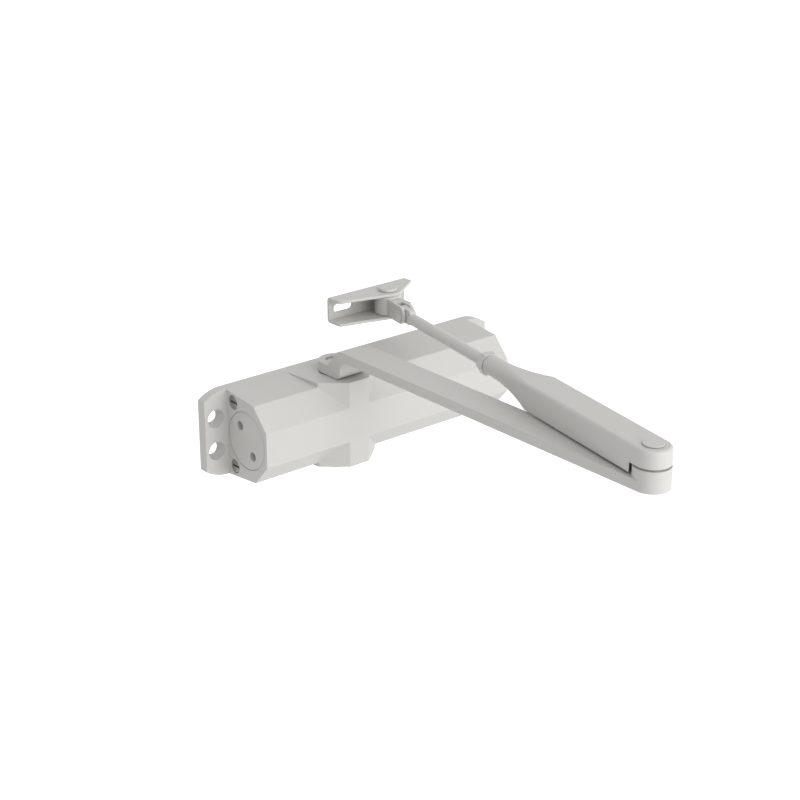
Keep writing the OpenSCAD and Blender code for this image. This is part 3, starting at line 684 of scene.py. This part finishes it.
def weight_edges(mesh: bmesh.types.BMesh, width: float) -> None:
    """Marks the hard edges, each run with as much of the rounding as its corners leave room for.

    Args:
        mesh: The welded mesh.
        width: The full width of the rounding.
    """
    weights = mesh.edges.layers.float.new("bevel_weight_edge")
    hard = {edge for edge in mesh.edges
            if len(edge.link_faces) == 2 and edge.calc_face_angle(0.0) > HARD_EDGE}
    for run in connected_runs(hard):
        cornering = [edge.calc_length() for edge in run
                     if any(is_corner(vertex, hard) for vertex in edge.verts)]
        room = ROOM_SHARE * min(cornering) if cornering else width
        for edge in run:
            edge[weights] = min(room / width, 1.0)


def ease(node: str, width: float, finish: Finish) -> None:
    """Replaces a CAD node by a copy with rounded edges.

    Args:
        node: The node's name.
        width: The width of the rounding.
        finish: The finish of all of it.
    """
    welded = welded_copy(node)
    weight_edges(welded, width)
    mesh = bpy.data.meshes.new(f"{node}_eased")
    welded.to_mesh(mesh)
    welded.free()
    for face in mesh.polygons:
        face.use_smooth = True
    piece = new_object(f"{node}_eased", mesh)
    bevel = piece.modifiers.new("ease", "BEVEL")
    bevel.width = width
    bevel.segments = 2
    bevel.limit_method = "WEIGHT"
    bevel.use_clamp_overlap = False
    bake_modifiers(piece)
    piece.data.set_sharp_from_angle(angle=SHARP)
    piece.modifiers.new("even", "WEIGHTED_NORMAL").keep_sharp = True
    bake_modifiers(piece)
    stand_for(piece, node, finish)


@dataclass
class CloserHousing:
    """The closed body: its casting, the caps at its ends, the cover below and the valve screws.

    Attributes:
        casting_edge: The width of the casting's rounded edges.
        cap_edge: The width of the rounded edges of the end caps and of the cover.
        valve_roughness: The roughness of the valve screws.
        valve_marks: The distance between the tool marks on the valve screws.
    """

    casting_edge: float = 0.35 * MM
    cap_edge: float = 0.2 * MM
    valve_roughness: float = 0.45
    valve_marks: float = 0.12 * MM

    def build(self) -> None:
        """Rounds the painted pieces and dresses the valve screws and the seals."""
        ease("closer_body", self.casting_edge, CAST_PAINT)
        for node in ("left_end_cap", "right_end_cap", "spindle_cover"):
            ease(node, self.cap_edge, SMOOTH_PAINT)
        for node in ("sweep_valve", "latch_valve"):
            # The valve screws wear a metal colour darkened with painted shade for the recesses they sit in.
            dress_turned(node, VALVE_METAL_WITH_PAINTED_SHADE, ALONG_BODY,
                         roughness=self.valve_roughness, pitch=self.valve_marks)
        for node in ("cap_seals", "valve_seals"):
            dress(node, SEAL_RUBBER)


@dataclass
class SpindleDrive:
    """The spindle with its bearings, glands and seals, and the piston that it moves.

    Attributes:
        ball_roughness: The roughness of the check valve's polished ball.
    """

    ball_roughness: float = 0.12

    def build(self) -> None:
        """Dresses the turning pieces, the piston with its check valve, and the spring's seat."""
        for node in ("spindle", "upper_bearing", "lower_bearing"):
            dress_turned(node, STEEL)
        for node in ("upper_gland", "lower_gland"):
            dress_turned(node, ZINC)
        for node in ("upper_seal", "lower_seal"):
            dress(node, SEAL_RUBBER)
        for node in ("piston", "check_retainer", "spring_seat"):
            dress_turned(node, STEEL, ALONG_BODY)
        dress("check_ball", MetalFinish("ball_steel", STEEL, Grain.POLISHED, roughness=self.ball_roughness))


@dataclass
class ArmLinkage:
    """The main arm, the elbow, the forearm, and the rod with its jam nut.

    Attributes:
        arm_edge: The width of the main arm's rounded edges.
        forearm_edge: The width of the forearm's rounded edges.
        pin_edge: The width of the elbow pin's rounded edges.
        nut_edge: The width of the jam nut's rounded edges.
        rod_edge: The width of the adjusting rod's rounded edges.
    """

    arm_edge: float = 0.4 * MM
    forearm_edge: float = 0.35 * MM
    pin_edge: float = 0.6 * MM
    nut_edge: float = 0.2 * MM
    rod_edge: float = 0.3 * MM

    def rod_paint(self) -> PaintFinish:
        """Describes the rod's paint, with the thread that the forearm hides at rest.

        Returns:
            The smooth paint, with a thread that ends at the jam nut.
        """
        joints = {joint["name"]: joint for joint in frame["record"]["behaviour"]["joints"]}
        elbow, nut = (Vector(joints[name]["pos_m"]) for name in ("elbow", "jam_nut_turn"))
        origin = (elbow.x, elbow.y, nut.z)
        way = nut - Vector(origin)
        turn = (0.0, math.pi / 2, math.atan2(way.y, way.x))
        return replace(SMOOTH_PAINT, name="rod_paint", thread=Thread(origin, turn, way.length))

    def build(self) -> None:
        """Rounds the painted pieces and dresses the arm's screw and the elbow's washer."""
        ease("main_arm", self.arm_edge, CAST_PAINT)
        ease("forearm", self.forearm_edge, CAST_PAINT)
        ease("elbow_pin", self.pin_edge, SMOOTH_PAINT)
        ease("jam_nut", self.nut_edge, SMOOTH_PAINT)
        ease("adjusting_rod", self.rod_edge, self.rod_paint())
        for node in ("arm_screw", "elbow_washer"):
            dress_turned(node, ZINC)


@dataclass
class FrameShoe:
    """The fork on the rod's tongue and the shoe that is screwed to the door's frame.

    Attributes:
        fork_edge: The width of the fork's rounded edges.
        pin_edge: The width of the cross pin's rounded edges.
        shoe_edge: The width of the shoe's rounded edges.
        rivet_edge: The width of the rivet's rounded edges.
    """

    fork_edge: float = 0.5 * MM
    pin_edge: float = 0.3 * MM
    shoe_edge: float = 0.5 * MM
    rivet_edge: float = 0.8 * MM

    def build(self) -> None:
        """Rounds the painted pieces and dresses the washers."""
        ease("swivel_fork", self.fork_edge, SMOOTH_PAINT)
        ease("clevis_pin", self.pin_edge, SMOOTH_PAINT)
        ease("shoe_rivet", self.rivet_edge, SMOOTH_PAINT)
        ease("arm_shoe", self.shoe_edge, SMOOTH_PAINT)
        dress_turned("shoe_washers", ZINC)


class SpringTree(NodeLayout):
    """The Geometry Nodes tree of a coil spring along X with closed ends.

    Attributes:
        given: What comes into the tree, by name.
    """

    SIZES = {"Turns": 10.0, "Length": 100.0 * MM, "Coil Radius": 15.0 * MM, "Wire Radius": 2.0 * MM,
             "End Pitch": 5.0 * MM}
    COUNTS = {"Points": 200, "Wire Sides": 16}

    def __init__(self) -> None:
        """Makes the tree with its named sockets."""
        super().__init__(bpy.data.node_groups.new("closed_end_spring", "GeometryNodeTree"))
        sockets = self.tree.interface
        for name, value in self.SIZES.items():
            sockets.new_socket(name, in_out="INPUT", socket_type="NodeSocketFloat").default_value = value
        for name, value in self.COUNTS.items():
            sockets.new_socket(name, in_out="INPUT", socket_type="NodeSocketInt").default_value = value
        sockets.new_socket("Start", in_out="INPUT", socket_type="NodeSocketVector")
        sockets.new_socket("Material", in_out="INPUT", socket_type="NodeSocketMaterial")
        sockets.new_socket("Geometry", in_out="OUTPUT", socket_type="NodeSocketGeometry")
        self.given = self.tree.nodes.new("NodeGroupInput").outputs

    def advance(self, turn: bpy.types.NodeSocket) -> bpy.types.NodeSocket:
        """Works out how far along the spring its wire has come.

        Args:
            turn: How many turns the wire has made.

        Returns:
            The way from the spring's first face to the middle of the wire.
        """
        middle_turns = self.math("SUBTRACT", self.given["Turns"], 2.0)
        wire = self.math("MULTIPLY", self.given["Wire Radius"], 2.0)
        closed = self.math("ADD", wire, self.math("MULTIPLY", self.given["End Pitch"], 2.0))
        pitch = self.math("DIVIDE", self.math("SUBTRACT", self.given["Length"], closed), middle_turns)
        first = self.math("MULTIPLY", self.math("MINIMUM", turn, 1.0), self.given["End Pitch"])
        past_first = self.math("MAXIMUM", self.math("SUBTRACT", turn, 1.0), 0.0)
        open_part = self.math("MULTIPLY", self.math("MINIMUM", past_first, middle_turns), pitch)
        past_open = self.math("MAXIMUM", self.math("SUBTRACT", past_first, middle_turns), 0.0)
        last = self.math("MULTIPLY", past_open, self.given["End Pitch"])
        return self.math("ADD", self.math("ADD", first, open_part),
                         self.math("ADD", last, self.given["Wire Radius"]))

    def wind(self) -> bpy.types.NodeTree:
        """Joins the nodes that wind the wire.

        Returns:
            The tree, whose inputs are the spring's sizes, its first point and its wire's material.
        """
        line = self.place("GeometryNodeMeshLine", Count=self.given["Points"])
        step = self.math("DIVIDE", self.place("GeometryNodeInputIndex").outputs[0],
                         self.math("SUBTRACT", self.given["Points"], 1.0))
        turn = self.math("MULTIPLY", step, self.given["Turns"])
        angle = self.math("MULTIPLY", turn, math.tau)
        across = self.math("MULTIPLY", self.math("COSINE", angle), self.given["Coil Radius"])
        up = self.math("MULTIPLY", self.math("SINE", angle), self.given["Coil Radius"])
        point = self.place("ShaderNodeCombineXYZ", X=self.advance(turn), Y=across, Z=up)
        placed = self.place("ShaderNodeVectorMath")
        self.plug(placed.inputs[0], point.outputs[0])
        self.plug(placed.inputs[1], self.given["Start"])
        wound = self.place("GeometryNodeSetPosition", Geometry=line.outputs[0], Position=placed.outputs[0])
        curve = self.place("GeometryNodeMeshToCurve", Mesh=wound.outputs[0])
        section = self.place("GeometryNodeCurvePrimitiveCircle", Resolution=self.given["Wire Sides"],
                             Radius=self.given["Wire Radius"])
        tube = self.place("GeometryNodeCurveToMesh", Curve=curve.outputs[0], Profile_Curve=section.outputs[0],
                          Fill_Caps=True)
        smooth = self.place("GeometryNodeSetShadeSmooth", Geometry=tube.outputs[0])
        real = self.place("GeometryNodeRealizeInstances", Geometry=smooth.outputs[0])
        steel = self.place("GeometryNodeSetMaterial", Geometry=real.outputs[0],
                           Material=self.given["Material"])
        self.feed(self.tree.nodes.new("NodeGroupOutput"), Geometry=steel.outputs[0])
        return self.tree


def set_inputs(modifier: bpy.types.Modifier, values: dict[str, object]) -> None:
    """Sets a Geometry Nodes modifier's inputs by the identifiers of their sockets.

    Args:
        modifier: The modifier, with its tree.
        values: The value of each input, by the socket's name.
    """
    for item in modifier.node_group.interface.items_tree:
        if item.item_type == "SOCKET" and item.in_out == "INPUT" and item.name in values:
            modifier[item.identifier] = values[item.name]


@dataclass
class ClosingSpring:
    """The coil spring that closes the door.

    Attributes:
        wire_radius: The radius of the wire.
        turns: The number of turns.
        end_gap: The gap in the closed turn at each end.
        points_per_turn: Points along the wire in one turn.
        wire_sides: Points round the wire.
        roughness: The roughness of the wire.
        stroke: How far the piston squeezes it; not used.
    """

    wire_radius: float = 2.1 * MM
    turns: float = 11.0
    end_gap: float = 0.6 * MM
    points_per_turn: int = 40
    wire_sides: int = 16
    roughness: float = 0.4
    stroke: float = 25.13 * MM

    def build(self) -> None:
        """Winds the spring in the CAD node's place."""
        low, high = (Vector(corner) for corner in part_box("main_spring"))
        middle = (low + high) / 2
        length = high.x - low.x
        wire = MetalFinish("spring_wire", SPRING_STEEL, Grain.DRAWN, roughness=self.roughness)
        piece = new_object("closing_spring", bpy.data.meshes.new("closing_spring"))
        winding = piece.modifiers.new("winding", "NODES")
        winding.node_group = SpringTree().wind()
        set_inputs(winding, {
            "Turns": self.turns, "Length": length, "Wire Radius": self.wire_radius,
            "Coil Radius": (high.z - low.z) / 2 - self.wire_radius,
            "End Pitch": 2 * self.wire_radius + self.end_gap,
            "Points": int(self.turns * self.points_per_turn) + 1, "Wire Sides": self.wire_sides,
            "Start": (low.x, middle.y, middle.z), "Material": material_of(wire)})
        bake_modifiers(piece)
        stand_for(piece, "main_spring", wire)
        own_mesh(piece)


@dataclass
class Studio:
    """The floor, the lights and the camera.

    Attributes:
        camera_at: Where the camera stands.
        pitch: How far the camera looks up from straight down, in degrees.
        yaw: How far the camera is turned from +Y, in degrees.
        lens: The focal length, in millimetres.
        sensor: The width of the camera's sensor, in millimetres.
        nearest: How near to itself the camera still sees.
        ambient: The strength of the light from all round.
        key_power: The power of the key lamp, in watts.
        key_at: Where the key lamp hangs, in front of the object.
        top_power: The power of the top lamp, in watts.
        top_at: Where the top lamp hangs, above the key lamp.
        lamp_size: The width of the lamps.
        aim: The point that the lamps look at.
        floor_gap: How far the floor lies below the lowest piece.
        floor_size: The width of the floor.
        floor_colour: The colour of the floor.
        floor_roughness: The roughness of the floor.
        floor_glow: What is added to the lit floor where it is seen, so that it shows as white.
    """

    camera_at: Triple = (-0.705653, -0.898390, 0.453984)
    pitch: float = 68.0
    yaw: float = -40.0
    lens: float = 80.0
    sensor: float = 36.0
    nearest: float = 0.01
    ambient: float = 0.73
    key_power: float = 40.0
    key_at: Triple = (0.595, -2.342, 0.02)
    top_power: float = 16.0
    top_at: Triple = (0.0, -1.83, 1.56)
    lamp_size: float = 1.6
    aim: Triple = (0.0, -0.12, 0.02)
    floor_gap: float = 0.16
    floor_size: float = 12.0
    floor_colour: Colour = (0.86, 0.86, 0.86)
    floor_roughness: float = 0.9
    floor_glow: float = 0.5

    def camera(self) -> None:
        """Places the camera of the photograph's view."""
        data = bpy.data.cameras.new("photo_camera")
        data.lens = self.lens
        data.sensor_width = self.sensor
        data.clip_start = self.nearest
        camera = new_object("photo_camera", data)
        camera.location = self.camera_at
        camera.rotation_euler = Euler((math.radians(self.pitch), 0.0, math.radians(self.yaw)))
        bpy.context.scene.camera = camera

    def lamp(self, kind: Lamp, power: float, at: Triple) -> None:
        """Hangs a square lamp that looks at the object.

        Args:
            kind: Which lamp it is.
            power: Its power in watts.
            at: Where it hangs.
        """
        data = bpy.data.lights.new(f"{kind.value}_lamp", "AREA")
        data.energy = power
        data.size = self.lamp_size
        lamp = new_object(f"{kind.value}_lamp", data)
        lamp.location = at
        lamp.rotation_euler = (Vector(self.aim) - Vector(at)).to_track_quat("-Z", "Y").to_euler()

    def seen(self, tree: NodeLayout) -> bpy.types.NodeSocket:
        """Tells the rays that show a surface from those that only carry light.

        Args:
            tree: The material's or the world's tree.

        Returns:
            A socket that is 1 for rays from the camera, from gloss and from glass.
        """
        rays = tree.place("ShaderNodeLightPath")
        seen = tree.math("MAXIMUM", rays.outputs["Is Camera Ray"], rays.outputs["Is Glossy Ray"])
        return tree.math("MAXIMUM", seen, rays.outputs["Is Transmission Ray"])

    def world(self) -> None:
        """Makes an even light from all round, which the camera sees as white."""
        world = bpy.data.worlds.new("studio")
        world.use_nodes = True
        bpy.context.scene.world = world
        tree = NodeLayout(world.node_tree)
        extra = tree.math("MULTIPLY", self.seen(tree), 1.0 - self.ambient)
        tree.feed(world.node_tree.nodes["Background"], Color=(1, 1, 1, 1),
                  Strength=tree.math("ADD", extra, self.ambient))

    def floor(self) -> None:
        """Lays a pale floor below the object."""
        half = self.floor_size / 2
        low = Vector(CAD_BOX[0]).z - self.floor_gap
        mesh = bpy.data.meshes.new("floor")
        corners = [(-half, -half, low), (half, -half, low), (half, half, low), (-half, half, low)]
        mesh.from_pydata(corners, [], [(0, 1, 2, 3)])
        white = Surface("floor_white")
        white.coat(Base_Color=(*self.floor_colour, 1), Roughness=self.floor_roughness, Specular_IOR_Level=0.0,
                   Emission_Color=(1, 1, 1, 1),
                   Emission_Strength=white.math("MULTIPLY", self.seen(white), self.floor_glow))
        mesh.materials.append(white.material)
        new_object("floor", mesh)

    def build(self) -> None:
        """Builds the studio."""
        bpy.context.scene.view_settings.view_transform = "Standard"
        self.camera()
        self.lamp(Lamp.KEY, self.key_power, self.key_at)
        self.lamp(Lamp.TOP, self.top_power, self.top_at)
        self.world()
        self.floor()
        log.info("studio ready")


def main() -> None:
    """Builds the looks."""
    logging.basicConfig(level=logging.INFO, format="%(name)s: %(message)s")
    for part in (CloserHousing(), SpindleDrive(), ClosingSpring(), ArmLinkage(), FrameShoe(), Studio()):
        part.build()


if __name__ == "__main__":
    main()
